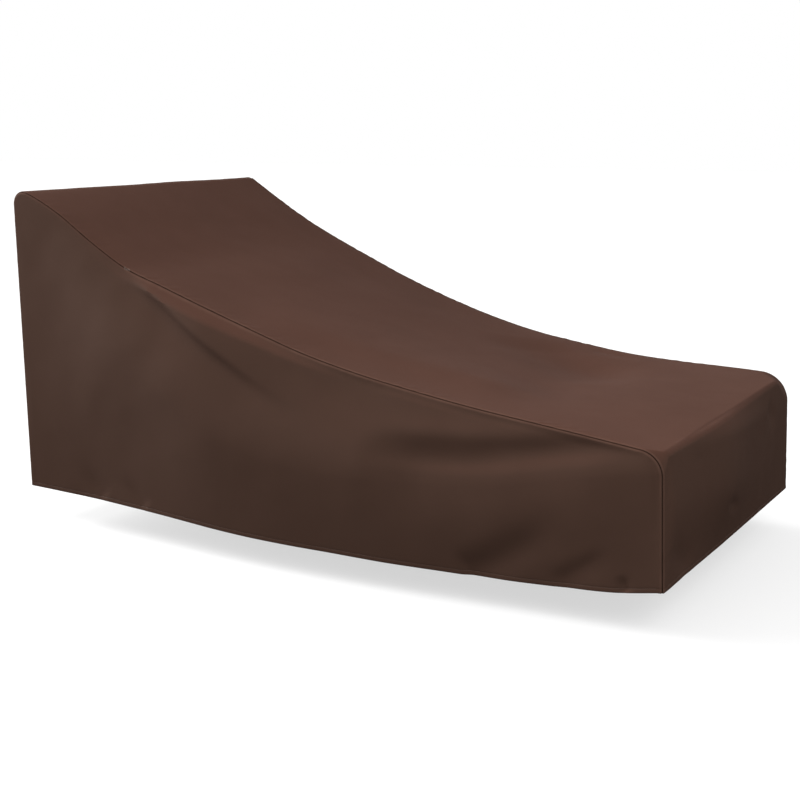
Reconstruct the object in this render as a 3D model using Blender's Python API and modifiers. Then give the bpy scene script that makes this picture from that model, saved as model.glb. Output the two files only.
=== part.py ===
"""A fitted chaise lounge cover, in the shape in which it hangs in use.

Three panels of coated cloth are sewn into a hollow that is open below: a centre panel that runs up the
head end, down the slope, along the low part of the top and down the foot end, and a side panel on each
long side.

Lengths are in metres and +Z is up. X runs from the head (-X) to the foot (+X), and the near side is -Y.
Heights in the tables are measured from the level of the hem. The model's origin is on the underside of
the top, at the middle of the cover, where it is held up.
"""

import math
from collections import namedtuple

import bmesh
import bpy
from mathutils import Vector

# ---------------------------------------------------------------------------------------------------
# Driving sizes
# ---------------------------------------------------------------------------------------------------
COVER_WIDTH = 0.900       # between the outer faces of the side panels, at the seams
COVER_LENGTH = 1.572      # from the head end to the foot end, at the top edges
MOUNT_HEIGHT = 0.3710     # from the hem's level to the underside of the top, at the origin
CLOTH = 0.002             # thickness of the cloth
SEAM_GAP = 0.0004         # between the edges of two panels that are sewn together
SEAM_ROUND = 0.008        # radius with which the cloth turns over to a seam
SEAM_TURN = 30            # degrees that it has turned where the last strip beside the seam starts
SEAM_TUCK = 54            # degrees that this last strip is turned by, so that it tucks in at the seam
FOOT_FLARE = 0.011        # how far the foot end's hem stands out past its top

# How far the head end's top corners stand out past the cover's length
HEAD_OUT = {"near": 0.013, "far": 0.015}

# The radii of the top corners, seen from the side. Between the seams the foot's edge is crisper, and
# beside each seam it goes over into the seam's own corner within EDGE_FADE.
HEAD_CORNER = {"near": 0.030, "far": 0.026}
FOOT_CORNER = {"near": 0.052, "far": 0.070}
FOOT_EDGE = 0.011
EDGE_FADE = {"near": 0.012, "far": 0.100}

# How finely each panel is divided
HEAD_STEPS = 9
CORNER_STEPS = 6
TOP_STEPS = 48
FOOT_STEPS = 6
ACROSS_STEPS = 14
SIDE_STEPS = {"near": 17, "far": 11}

COLOUR = (0.0710, 0.0370, 0.0265, 1.0)
ROUGHNESS = 0.75

# ---------------------------------------------------------------------------------------------------
# Tables
# ---------------------------------------------------------------------------------------------------
# The two long seams: their heights at distances from the head end
TopRow = namedtuple("TopRow", "along near far")
TOP_LINE = (
    TopRow(0.000, 0.702, 0.718),
    TopRow(0.050, 0.686, 0.686),
    TopRow(0.130, 0.647, 0.637),
    TopRow(0.220, 0.590, 0.586),
    TopRow(0.320, 0.535, 0.538),
    TopRow(0.420, 0.501, 0.494),
    TopRow(0.530, 0.464, 0.447),
    TopRow(0.660, 0.422, 0.399),
    TopRow(0.790, 0.382, 0.358),
    TopRow(0.920, 0.352, 0.326),
    TopRow(1.050, 0.329, 0.305),
    TopRow(1.180, 0.309, 0.288),
    TopRow(1.310, 0.293, 0.280),
    TopRow(1.440, 0.277, 0.276),
    TopRow(1.572, 0.260, 0.270),
)

# The hem along each side: how far it droops below its level, and how far it stands out past the seam
HemRow = namedtuple("HemRow", "along near_droop near_bulge far_droop far_bulge")
HEM_LINE = (
    HemRow(0.000, 0.006, 0.000, 0.001, 0.000),
    HemRow(0.200, 0.013, 0.000, 0.005, 0.008),
    HemRow(0.400, 0.018, 0.012, 0.009, 0.014),
    HemRow(0.650, 0.026, 0.027, 0.014, 0.024),
    HemRow(0.900, 0.029, 0.030, 0.017, 0.028),
    HemRow(1.120, 0.030, 0.026, 0.015, 0.024),
    HemRow(1.320, 0.024, 0.014, 0.010, 0.015),
    HemRow(1.480, 0.015, 0.006, 0.005, 0.006),
    HemRow(1.572, 0.003, 0.000, 0.007, 0.000),
)

# Each side's slack: how far the cloth stands out at its widest, and how high over the hem that is
SlackRow = namedtuple("SlackRow", "along near_height near_bulge far_height far_bulge")
SLACK_LINE = (
    SlackRow(0.000, 0.480, 0.000, 0.240, 0.000),
    SlackRow(0.150, 0.420, 0.002, 0.230, 0.010),
    SlackRow(0.330, 0.330, 0.016, 0.210, 0.018),
    SlackRow(0.530, 0.215, 0.040, 0.190, 0.026),
    SlackRow(0.740, 0.155, 0.047, 0.170, 0.034),
    SlackRow(0.990, 0.145, 0.041, 0.150, 0.036),
    SlackRow(1.210, 0.160, 0.033, 0.140, 0.030),
    SlackRow(1.400, 0.195, 0.018, 0.140, 0.016),
    SlackRow(1.572, 0.220, 0.000, 0.140, 0.000),
)

# Folds: the route of each fold's line, how far it stands out (or goes in, below zero) from the smooth
# cloth, how wide it is on each side of its line, and the shares of its length over which it fades in and
# out. A side panel's route is in distances from the head end and heights. On the top a route is in
# distances from the head end and distances across from the middle, and on the ends in heights and
# distances across. The left width is on the left hand of someone who walks along the route.
Fold = namedtuple("Fold", "route rise left right fade_in fade_out")
NEAR_FOLDS = (
    # the roll of slack cloth that hangs over the deep crease, from the bend in the seam
    Fold(((0.315, 0.540), (0.406, 0.496), (0.506, 0.432), (0.606, 0.372), (0.706, 0.317), (0.850, 0.255)),
         0.020, 0.085, 0.026, 0.20, 0.55),
    # the shoulder right under the seam
    Fold(((0.400, 0.485), (0.500, 0.452), (0.600, 0.417), (0.700, 0.386), (0.800, 0.356), (0.930, 0.326)),
         0.0055, 0.024, 0.100, 0.20, 0.35),
    # the long hollow under the seam, towards the foot
    Fold(((0.930, 0.206), (1.020, 0.199), (1.110, 0.196), (1.200, 0.202), (1.300, 0.219), (1.400, 0.236),
          (1.480, 0.249), (1.555, 0.257)), -0.0125, 0.036, 0.075, 0.30, 0.30),
    # the full cloth under the seam's steep part
    Fold(((0.060, 0.615), (0.130, 0.575), (0.220, 0.520), (0.330, 0.455), (0.450, 0.385)),
         0.007, 0.055, 0.150, 0.25, 0.35),
    # the fuller cloth behind the crease, at half the head end's height
    Fold(((0.100, 0.480), (0.300, 0.380), (0.450, 0.270), (0.620, 0.180), (0.850, 0.120)),
         0.010, 0.100, 0.180, 0.30, 0.35),
    # the low creases that run up from the hem
    Fold(((1.170, -0.030), (1.250, 0.012), (1.315, 0.058), (1.400, 0.120)), -0.0080, 0.036, 0.036, 0.10, 0.45),
    Fold(((1.360, -0.025), (1.430, 0.026), (1.490, 0.066)), -0.005, 0.026, 0.030, 0.22, 0.50),
    Fold(((0.240, -0.012), (0.205, 0.025), (0.160, 0.070)), -0.005, 0.026, 0.028, 0.22, 0.55),
    Fold(((0.372, -0.014), (0.335, 0.020), (0.290, 0.055)), -0.005, 0.026, 0.028, 0.22, 0.55),
)
FAR_FOLDS = (
    Fold(((0.360, 0.480), (0.560, 0.350), (0.780, 0.215), (1.040, 0.170), (1.530, 0.240)),
         0.009, 0.046, 0.085, 0.15, 0.15),
    Fold(((0.380, 0.490), (0.500, 0.410), (0.740, 0.275)), -0.010, 0.030, 0.030, 0.10, 0.50),
    Fold(((0.930, 0.232), (1.250, 0.222), (1.540, 0.240)), -0.009, 0.026, 0.036, 0.35, 0.10),
    Fold(((0.980, -0.020), (1.080, 0.050), (1.190, 0.110)), -0.007, 0.036, 0.036, 0.05, 0.60),
)
TOP_FOLDS = (
    # the ridge from which the cloth falls towards the near seam
    Fold(((0.450, -0.270), (0.850, -0.210), (1.050, -0.170), (1.220, -0.110)), 0.012, 0.160, 0.110, 0.30, 0.30),
    # the valley across the far side of the low part
    Fold(((0.980, 0.345), (1.080, 0.235), (1.190, 0.165), (1.300, 0.085), (1.370, -0.030)),
         -0.010, 0.060, 0.120, 0.25, 0.30),
    # the shallow hollow in which the slope ends
    Fold(((1.120, 0.360), (1.170, 0.150), (1.170, -0.120), (1.100, -0.340)), -0.014, 0.130, 0.160, 0.25, 0.40),
)
FOOT_FOLDS = (
    # the fullness of the end, which makes its near half face a little to the near side
    Fold(((-0.030, -0.100), (0.290, -0.080)), 0.020, 0.280, 0.200, 0.50, 0.20),
    Fold(((0.150, -0.470), (0.150, -0.150), (0.140, 0.120)), 0.008, 0.080, 0.080, 0.05, 0.60),
    # a low crease that runs up from its hem, and the dent near the far corner
    Fold(((0.012, -0.290), (0.040, -0.360), (0.085, -0.420)), -0.004, 0.034, 0.034, 0.25, 0.50),
    Fold(((0.232, 0.265), (0.205, 0.285), (0.170, 0.330)), -0.0045, 0.034, 0.034, 0.25, 0.45),
)
HEAD_FOLDS = (
    Fold(((0.560, -0.330), (0.300, -0.300), (0.020, -0.310)), -0.006, 0.060, 0.060, 0.30, 0.10),
    Fold(((0.520, 0.260), (0.250, 0.240), (0.010, 0.270)), -0.006, 0.070, 0.060, 0.30, 0.10),
    Fold(((0.420, -0.020), (0.020, 0.030)), 0.005, 0.070, 0.070, 0.40, 0.10),
)
SIDE_FOLDS = {"near": NEAR_FOLDS, "far": FAR_FOLDS}
FOLD_FADE = 0.024         # a fold fades out over this distance from a seam
ROUTE_SAMPLES = 28        # points taken along a fold's route

HALF_WIDTH = COVER_WIDTH / 2
SIGN = {"near": -1, "far": 1}


# ---------------------------------------------------------------------------------------------------
# Small helpers
# ---------------------------------------------------------------------------------------------------
def smooth_step(value):
    """Rise from 0 to 1 without a corner as value goes from 0 to 1."""
    value = min(max(value, 0.0), 1.0)
    return value * value * (3 - 2 * value)


def hermite(low, high, low_slope, high_slope, step, t):
    """A cubic between two values with the given slopes, step apart, at the share t."""
    return ((2 * t ** 3 - 3 * t ** 2 + 1) * low + (t ** 3 - 2 * t ** 2 + t) * step * low_slope
            + (3 * t ** 2 - 2 * t ** 3) * high + (t ** 3 - t ** 2) * step * high_slope)


def slope_at(rows, column, index):
    """The table's slope at a row, from the rows on both sides of it."""
    before = rows[max(index - 1, 0)]
    after = rows[min(index + 1, len(rows) - 1)]
    return (getattr(after, column) - getattr(before, column)) / (after.along - before.along)


def look_up(rows, column, along):
    """Read a column of a table at any distance from the head end, along a smooth line through its rows."""
    along = min(max(along, rows[0].along), rows[-1].along)
    index = max(i for i, row in enumerate(rows[:-1]) if row.along <= along)
    low, high = rows[index], rows[index + 1]
    step = high.along - low.along
    return hermite(getattr(low, column), getattr(high, column), slope_at(rows, column, index),
                   slope_at(rows, column, index + 1), step, (along - low.along) / step)


def smooth_route(points):
    """Points on a smooth line through the points of a fold's route, as two-dimensional vectors."""
    knots = [Vector(point) for point in points]
    knots = [2 * knots[0] - knots[1]] + knots + [2 * knots[-1] - knots[-2]]
    spans = len(knots) - 3
    route = []
    for sample in range(ROUTE_SAMPLES + 1):
        place = sample / ROUTE_SAMPLES * spans
        span = min(int(place), spans - 1)
        before, low, high, after = knots[span:span + 4]
        route.append(hermite(low, high, (high - before) / 2, (after - low) / 2, 1, place - span))
    return route


def nearest(point, route):
    """The distance from a point to a route, its share of the way along, and the side that it is on."""
    best = (math.inf, 0.0, 0.0)
    for index, (start, end) in enumerate(zip(route, route[1:])):
        run = end - start
        share = min(max((point - start).dot(run) / run.length_squared, 0.0), 1.0)
        offset = point - (start + share * run)
        if offset.length < best[0]:
            best = (offset.length, (index + share) / (len(route) - 1), run.x * offset.y - run.y * offset.x)
    return best


ROUTES = {fold: smooth_route(fold.route)
          for folds in (*SIDE_FOLDS.values(), TOP_FOLDS, FOOT_FOLDS, HEAD_FOLDS) for fold in folds}


def relief(folds, first, second):
    """How far the folds lift the cloth at a point that is given in the folds' own two distances."""
    lift = 0.0
    for fold in folds:
        distance, share, side = nearest(Vector((first, second)), ROUTES[fold])
        width = fold.left if side > 0 else fold.right
        ends = smooth_step(share / fold.fade_in) * smooth_step((1 - share) / fold.fade_out)
        lift += fold.rise * ends * math.exp(-(distance / width) ** 2)
    return lift


# ---------------------------------------------------------------------------------------------------
# The line of each seam, seen from the side
# ---------------------------------------------------------------------------------------------------
def straight(start, end, steps):
    """Evenly spaced points from start up to, but not at, end."""
    return [start.lerp(end, step / steps) for step in range(steps)]


def rounded(before, corner, after, radius):
    """The arc that rounds a corner off, with both its ends."""
    back = (before - corner).normalized()
    ahead = (after - corner).normalized()
    half_angle = back.angle(ahead) / 2
    centre = corner + (back + ahead).normalized() * radius / math.sin(half_angle)
    start = corner + back * radius / math.tan(half_angle) - centre
    end = corner + ahead * radius / math.tan(half_angle) - centre
    sweep = start.angle(end)
    points = []
    for step in range(CORNER_STEPS + 1):
        turn = sweep * step / CORNER_STEPS
        points.append(centre + (start * math.sin(sweep - turn) + end * math.sin(turn)) / math.sin(sweep))
    return points


def corner_line(side, foot_round):
    """The edge where the top and ends meet a side, as if it were sharp, from the head hem to the foot hem."""
    def top_at(along):
        return Vector((along, look_up(TOP_LINE, side, along)))

    head_top = top_at(0.0) - Vector((HEAD_OUT[side], 0.0))
    head_hem = Vector((0.0, -look_up(HEM_LINE, side + "_droop", 0.0)))
    foot_hem = Vector((COVER_LENGTH + FOOT_FLARE, -look_up(HEM_LINE, side + "_droop", COVER_LENGTH)))
    head_arc = rounded(head_hem, head_top, top_at(0.04), HEAD_CORNER[side])
    foot_arc = rounded(top_at(COVER_LENGTH - 0.06), top_at(COVER_LENGTH), foot_hem, foot_round)
    top_start, top_end = head_arc[-1].x, foot_arc[0].x
    top = [top_at(top_start + (top_end - top_start) * step / TOP_STEPS) for step in range(1, TOP_STEPS)]
    return (straight(head_hem, head_arc[0], HEAD_STEPS) + head_arc + top + foot_arc
            + straight(foot_hem, foot_arc[-1], FOOT_STEPS)[::-1])


def inward(line):
    """At each point of a corner line, the direction into the cover, seen from the side."""
    directions = []
    for index in range(len(line)):
        run = (line[min(index + 1, len(line) - 1)] - line[max(index - 1, 0)]).normalized()
        directions.append(Vector((run.y, -run.x)))
    return directions


def in_space(flat, across):
    """A point in the model's space, from its place seen from the side and its distance across."""
    return Vector((flat.x - COVER_LENGTH / 2, across, flat.y - MOUNT_HEIGHT))


# ---------------------------------------------------------------------------------------------------
# The panels
# ---------------------------------------------------------------------------------------------------
def turned_edge():
    """The section of cloth that turns over to a seam: distances from the corner along and below the sheet."""
    turn, tuck = math.radians(SEAM_TURN), math.radians(SEAM_TUCK)
    along, below = SEAM_ROUND * (1 - math.sin(turn)), SEAM_ROUND * (1 - math.cos(turn))
    strip = (along - below - SEAM_GAP / math.sqrt(2)) / (math.sin(tuck) + math.cos(tuck))
    seam = (along - strip * math.cos(tuck), below + strip * math.sin(tuck))
    return [(SEAM_ROUND, 0.0), (along, below), seam]


EDGE = turned_edge()
SEAM_ALONG = EDGE[-1][0]


def turned_in(depth):
    """How far the cloth of a side has turned in at a distance from the corner."""
    depth = max(depth, SEAM_ALONG)
    for (outer, low), (inner, high) in zip(EDGE, EDGE[1:]):
        if inner <= depth <= outer:
            return low + (high - low) * (outer - depth) / (outer - inner)
    return 0.0


def make_panel(name, columns, rows, place):
    """A sheet of cloth whose points are placed by column and row, thickened inwards."""
    sheet = bmesh.new()
    bmesh.ops.create_grid(sheet, x_segments=columns, y_segments=rows, size=1.0)
    for vert in sheet.verts:
        column = round((vert.co.x + 1) / 2 * columns)
        row = round((vert.co.y + 1) / 2 * rows)
        vert.co = place(column, row)
    mesh = bpy.data.meshes.new(name)
    sheet.to_mesh(mesh)
    sheet.free()
    mesh.shade_smooth()

    material = bpy.data.materials.new(name + "_cloth")
    material.use_nodes = True
    shader = material.node_tree.nodes["Principled BSDF"]
    shader.inputs["Base Color"].default_value = COLOUR
    shader.inputs["Roughness"].default_value = ROUGHNESS
    shader.inputs["Metallic"].default_value = 0.0
    mesh.materials.append(material)

    panel = bpy.data.objects.new(name, mesh)
    thickness = panel.modifiers.new("Thickness", "SOLIDIFY")
    thickness.thickness = CLOTH
    thickness.offset = -1
    return panel


def centre_panel():
    """The strip over the head end, the top and the foot end."""
    lines = {side: corner_line(side, FOOT_CORNER[side]) for side in SIGN}
    crisp_lines = {side: corner_line(side, FOOT_EDGE) for side in SIGN}
    directions = {side: inward(lines[side]) for side in SIGN}
    crisp_directions = {side: inward(crisp_lines[side]) for side in SIGN}
    columns = len(lines["near"]) - 1

    # distances across, with the drop of the cloth as it turns over to each seam
    edge = [(HALF_WIDTH - along, below) for along, below in EDGE]
    flat = HALF_WIDTH - SEAM_ROUND
    middle = [(flat * (2 * step / ACROSS_STEPS - 1), 0.0) for step in range(1, ACROSS_STEPS)]
    across = [(-y, drop) for y, drop in edge[::-1]] + middle + edge

    def place(column, row):
        y, drop = across[row]
        share = (y + HALF_WIDTH) / COVER_WIDTH
        crisp = smooth_step((y + flat) / EDGE_FADE["near"]) * smooth_step((flat - y) / EDGE_FADE["far"])
        near, far = (lines[side][column].lerp(crisp_lines[side][column], crisp) for side in SIGN)
        flat_point = near.lerp(far, share)
        near, far = (directions[side][column].lerp(crisp_directions[side][column], crisp) for side in SIGN)
        direction = near.lerp(far, share).normalized()
        top_share = smooth_step(-direction.y)
        lift = relief(TOP_FOLDS, flat_point.x, y) * top_share
        ends = HEAD_FOLDS if direction.x > 0 else FOOT_FOLDS
        lift += relief(ends, flat_point.y, y) * (1 - top_share)
        lift *= smooth_step((HALF_WIDTH - abs(y) - SEAM_ROUND) / FOLD_FADE)
        return in_space(flat_point + direction * (drop - lift), y)

    return make_panel("centre_panel", columns, len(across) - 1, place)


def side_panel(side):
    """One long side, from the hem up to the seam."""
    line = corner_line(side, FOOT_CORNER[side])
    directions = inward(line)
    first, last = HEAD_STEPS, len(line) - FOOT_STEPS - 1
    columns = last - first
    turned_rows = len(EDGE) - 1
    rows = SIDE_STEPS[side] + turned_rows

    def stands_out(flat, depth):
        """How far the hanging cloth stands out past the seam, before its folds."""
        widest = look_up(SLACK_LINE, side + "_height", flat.x)
        slack = look_up(SLACK_LINE, side + "_bulge", flat.x)
        hem = look_up(HEM_LINE, side + "_bulge", flat.x)
        if flat.y > widest:
            return slack * math.sin(math.pi / 2 * depth / (depth + flat.y - widest)) ** 1.4
        return slack + (hem - slack) * ((widest - flat.y) / widest) ** 1.8

    def ends_at(height):
        """The distances along of the head end's and the foot end's edges at a height."""
        head, foot = line[first] - line[0], line[last] - line[-1]
        return (line[0].x + head.x / head.y * (height - line[0].y),
                line[-1].x + foot.x / foot.y * (height - line[-1].y))

    def upright(column):
        """A column of the panel: its points at the hem, where the turned edge starts, and at the seam."""
        rim = line[first + column] + directions[first + column] * SEAM_ALONG
        below = (SEAM_ROUND - SEAM_ALONG) / max(-directions[first + column].y, 0.35)
        start = Vector((rim.x, rim.y - below))
        head_x, foot_x = ends_at(start.y)
        if column < len(EDGE):
            start.x = head_x + EDGE[-1 - column][0]
        if columns - column < len(EDGE):
            start.x = foot_x - EDGE[column - columns - 1][0]
        hem_x = line[0].x + (line[-1].x - line[0].x) * (start.x - head_x) / (foot_x - head_x)
        return Vector((hem_x, -look_up(HEM_LINE, side + "_droop", hem_x))), start, rim

    uprights = [upright(column) for column in range(columns + 1)]

    def place(column, row):
        hem, start, rim = uprights[column]
        if row > SIDE_STEPS[side]:
            turned = (SEAM_ROUND - EDGE[row - SIDE_STEPS[side]][0]) / (SEAM_ROUND - SEAM_ALONG)
            flat = start.lerp(rim, turned)
        else:
            flat = hem.lerp(start, row / SIDE_STEPS[side])
        depth = nearest(flat, line)[0]
        free = smooth_step((depth - SEAM_ROUND) / FOLD_FADE)
        out = stands_out(flat, depth) * free + relief(SIDE_FOLDS[side], flat.x, flat.y) * free
        return in_space(flat, SIGN[side] * (HALF_WIDTH - turned_in(depth) + out))

    if side == "near":
        return make_panel("side_panel_near", columns, rows, place)
    return make_panel("side_panel_far", columns, rows, lambda column, row: place(columns - column, row))


# ---------------------------------------------------------------------------------------------------
# The cover
# ---------------------------------------------------------------------------------------------------
def main():
    for thing in list(bpy.data.objects):
        bpy.data.objects.remove(thing)
    cover = bpy.data.collections.new("lounge_chair_cover")
    bpy.context.scene.collection.children.link(cover)
    for panel in (centre_panel(), side_panel("near"), side_panel("far")):
        cover.objects.link(panel)


main()
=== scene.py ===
# %% [markdown]
# # Dressing a fitted chaise cover
#
# The object is a fitted chaise cover, sewn from three panels of dark brown coated cloth. A plain model of
# it, with the right size and main folds, is the frame of this lesson. Each plain panel is replaced here by a
# thin sheet with turned seams, a sewn hem, fine creases and a woven finish.
#
# The first cell loads the frame.

import math
from collections import namedtuple

import bpy
import numpy as np
from mathutils import Matrix, Quaternion, Vector


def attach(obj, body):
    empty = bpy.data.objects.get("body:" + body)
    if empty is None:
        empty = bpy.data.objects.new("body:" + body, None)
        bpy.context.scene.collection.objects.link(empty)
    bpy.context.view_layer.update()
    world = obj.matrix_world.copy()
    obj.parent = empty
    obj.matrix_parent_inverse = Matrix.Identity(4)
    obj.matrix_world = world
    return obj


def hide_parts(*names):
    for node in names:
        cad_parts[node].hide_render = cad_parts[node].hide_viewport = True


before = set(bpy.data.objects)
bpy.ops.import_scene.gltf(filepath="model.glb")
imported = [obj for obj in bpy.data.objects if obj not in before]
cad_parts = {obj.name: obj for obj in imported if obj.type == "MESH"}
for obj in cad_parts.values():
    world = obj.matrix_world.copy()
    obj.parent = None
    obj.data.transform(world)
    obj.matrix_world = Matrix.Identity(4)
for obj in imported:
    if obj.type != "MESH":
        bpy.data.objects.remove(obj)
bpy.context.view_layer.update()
print("plain panels:", sorted(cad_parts))

# %% [markdown]
# ## The camera
#
# The cover is seen from its foot end, a little from above. Lines that are parallel on the cover run together
# quickly, so the camera is close and its lens is only a little long. It is given by its place, the compass
# direction and the dip in which it looks, and its lens.

# %% The camera
CAMERA_PLACE = (1.550, -2.750, 0.4590)
CAMERA_HEADING = math.radians(119.7)      # turned from +X towards +Y
CAMERA_DIP = math.radians(11.2)           # below the horizon
CAMERA_ROLL = math.radians(0.16)
CAMERA_LENS = 60.84                       # mm, on the usual sensor, 36 mm wide

line_of_sight = Vector((
    math.cos(CAMERA_HEADING) * math.cos(CAMERA_DIP),
    math.sin(CAMERA_HEADING) * math.cos(CAMERA_DIP),
    -math.sin(CAMERA_DIP),
))
camera_turn = line_of_sight.to_track_quat("-Z", "Y") @ Quaternion((0, 0, 1), CAMERA_ROLL)
bpy.ops.object.camera_add(location=CAMERA_PLACE, rotation=camera_turn.to_euler())
camera = bpy.context.object
camera.name = "camera"
camera.data.lens = CAMERA_LENS
bpy.context.scene.camera = camera
print("the camera looks along", [round(part, 3) for part in line_of_sight])

# %% [markdown]
# ## The floor and the light
#
# The cover hangs clear of the ground, so the floor lies a hand's width below its hem. Matte cloth shows its
# folds in broad soft light: a wide pale sky does most of the work. A low soft sun from the head end's side
# brightens whatever faces that way and leaves the foot end in shade. A key light from the front left draws
# the folds of the long side, and a weaker one near the foot opens up the shade there.
#
# The floor and sky that the camera sees are paler than those that light the cover, and the floor has a faint
# glow for the camera alone, so that the ground comes out nearly white but throws little light up under the
# hem. The plain view transform keeps the tones as they are.

# %% The floor and the light
FLOOR_HEIGHT = -0.4660
FLOOR_SIZE = 60.0
FLOOR_SEEN = (0.35, 0.35, 0.35, 1.0)      # the floor's colour for the camera
FLOOR_BOUNCE = (0.05, 0.05, 0.05, 1.0)    # and for the light that it throws back
FLOOR_GLOW = (0.62, 0.62, 0.62, 1.0)
FLOOR_ROUGHNESS = 0.9
BLACK = (0.0, 0.0, 0.0, 1.0)
WHITE = (1.0, 1.0, 1.0, 1.0)
SKY_LIGHT = 0.85
SKY_SEEN = 1.0
SUN_PLACE = (-0.951, 0.0, 0.309)          # the direction from which the low sun shines
SUN_POWER = 7.0
SUN_WIDTH = math.radians(35)


def add_node(tree, kind, sockets=(), **settings):
    """A node with some of its settings and sockets. A socket gets a value, or the output that feeds it."""
    node = tree.nodes.new(kind)
    for name, setting in settings.items():
        setattr(node, name, setting)
    for key, given in dict(sockets).items():
        if isinstance(given, bpy.types.NodeSocket):
            tree.links.new(given, node.inputs[key])
        else:
            node.inputs[key].default_value = given
    return node


def mixed(tree, share, first, second, blend="MIX"):
    """One colour or output run into a second one, as far as share says."""
    mix = add_node(tree, "ShaderNodeMix", {"Factor": share, "A": first, "B": second}, data_type="RGBA",
                   blend_type=blend)
    return mix.outputs["Result"]


def plain_material(name, colour, roughness):
    """A material of one colour, for the floor and for threads."""
    material = bpy.data.materials.new(name)
    material.use_nodes = True
    shader = material.node_tree.nodes["Principled BSDF"]
    shader.inputs["Base Color"].default_value = colour
    shader.inputs["Roughness"].default_value = roughness
    return material


def aimed(place):
    """The turn of a light at a place, or of a sun in that direction, which shines at the cover's middle."""
    return (-Vector(place)).to_track_quat("-Z", "Y").to_euler()


def soft_light(name, place, width, power):
    """A round soft light of the given width in metres."""
    bpy.ops.object.light_add(type="AREA", location=place, rotation=aimed(place))
    light = bpy.context.object
    light.name = name
    light.data.shape = "DISK"
    light.data.size = width
    light.data.energy = power


bpy.ops.mesh.primitive_plane_add(size=FLOOR_SIZE, location=(0, 0, FLOOR_HEIGHT))
floor = bpy.context.object
floor.name = "floor"
floor_material = plain_material("pale_floor", FLOOR_SEEN, FLOOR_ROUGHNESS)
floor_tree = floor_material.node_tree
floor_shader = floor_tree.nodes["Principled BSDF"]
floor_shader.inputs["Specular IOR Level"].default_value = 0.0
floor_shader.inputs["Emission Strength"].default_value = 1.0
seen_directly = add_node(floor_tree, "ShaderNodeLightPath").outputs["Is Camera Ray"]
for socket, for_light, for_camera in (("Base Color", FLOOR_BOUNCE, FLOOR_SEEN),
                                      ("Emission Color", BLACK, FLOOR_GLOW)):
    tone = mixed(floor_tree, seen_directly, for_light, for_camera)
    floor_tree.links.new(tone, floor_shader.inputs[socket])
floor.data.materials.append(floor_material)

soft_light("front_light", place=(2.05, -1.65, 1.30), width=1.4, power=27)
soft_light("key_light", place=(-1.6, -1.6, 1.7), width=1.5, power=34)
bpy.ops.object.light_add(type="SUN", rotation=aimed(SUN_PLACE))
sun = bpy.context.object
sun.name = "left_light"
sun.data.energy = SUN_POWER
sun.data.angle = SUN_WIDTH

sky = bpy.data.worlds.new("sky")
sky.use_nodes = True
sky_tree = sky.node_tree
lighting_sky = sky_tree.nodes["Background"]
seen_sky = add_node(sky_tree, "ShaderNodeBackground")
for background, strength in ((lighting_sky, SKY_LIGHT), (seen_sky, SKY_SEEN)):
    background.inputs["Color"].default_value = WHITE
    background.inputs["Strength"].default_value = strength
seen_directly = add_node(sky_tree, "ShaderNodeLightPath").outputs["Is Camera Ray"]
either_sky = add_node(sky_tree, "ShaderNodeMixShader", {
    "Fac": seen_directly, 1: lighting_sky.outputs["Background"], 2: seen_sky.outputs["Background"]})
sky_tree.links.new(either_sky.outputs["Shader"], sky_tree.nodes["World Output"].inputs["Surface"])
bpy.context.scene.world = sky
bpy.context.scene.view_settings.view_transform = "Standard"

# %% [markdown]
# ## The cover's sizes
#
# The sheets have to lie where the plain panels are, so the sizes and the three tables below are theirs. Only
# the near hem droops and stands out by a few millimetres more or less than theirs does, as its finer folds
# ask. The tables are in millimetres, and `along` is a distance from the head end. The top line gives the
# height of both long seams over the hem, the hem line how the hem droops and stands out, and the slack line
# how far each side bellies out and how high over the hem.

# %% The cover's sizes
COVER_WIDTH = 0.900
COVER_LENGTH = 1.572
MOUNT_HEIGHT = 0.3710     # from the hem's level to the underside of the top, at the origin
FOOT_FLARE = 0.011        # how far the foot end's hem stands out
HEAD_OUT = {"near": 0.013, "far": 0.015}
HEAD_CORNER = {"near": 0.030, "far": 0.026}
FOOT_CORNER = {"near": 0.052, "far": 0.070}
FOOT_EDGE = 0.011         # the rounding of the foot's edge between the seams
HALF_WIDTH = COVER_WIDTH / 2
SIGN = {"near": -1, "far": 1}


def table(columns, *rows):
    """Rows whose columns have names, in metres, from rows in millimetres."""
    row_kind = namedtuple("Row", columns)
    return [row_kind(*(value / 1000 for value in row)) for row in rows]


TOP_LINE = table(
    "along near far",
    (0, 702, 718),
    (50, 686, 686),
    (130, 647, 637),
    (220, 590, 586),
    (320, 535, 538),
    (420, 501, 494),
    (530, 464, 447),
    (660, 422, 399),
    (790, 382, 358),
    (920, 352, 326),
    (1050, 329, 305),
    (1180, 309, 288),
    (1310, 293, 280),
    (1440, 277, 276),
    (1572, 260, 270),
)
HEM_LINE = table(
    "along near_droop near_bulge far_droop far_bulge",
    (0, 6, 0, 1, 0),
    (200, 13, -4, 5, 8),
    (400, 18, 12, 9, 14),
    (650, 26, 33, 14, 24),
    (900, 29, 33, 17, 28),
    (1120, 30, 22, 15, 24),
    (1320, 26, 9, 10, 15),
    (1480, 17, 2, 5, 6),
    (1572, 3, 0, 7, 0),
)
SLACK_LINE = table(
    "along near_height near_bulge far_height far_bulge",
    (0, 480, 0, 240, 0),
    (150, 420, 2, 230, 10),
    (330, 330, 16, 210, 18),
    (530, 215, 40, 190, 26),
    (740, 155, 47, 170, 34),
    (990, 145, 41, 150, 36),
    (1210, 160, 33, 140, 30),
    (1400, 195, 18, 140, 16),
    (1572, 220, 0, 140, 0),
)


def smooth_step(value):
    """Rise from 0 to 1 without a corner as value goes from 0 to 1."""
    value = np.clip(value, 0.0, 1.0)
    return value * value * (3 - 2 * value)


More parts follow.
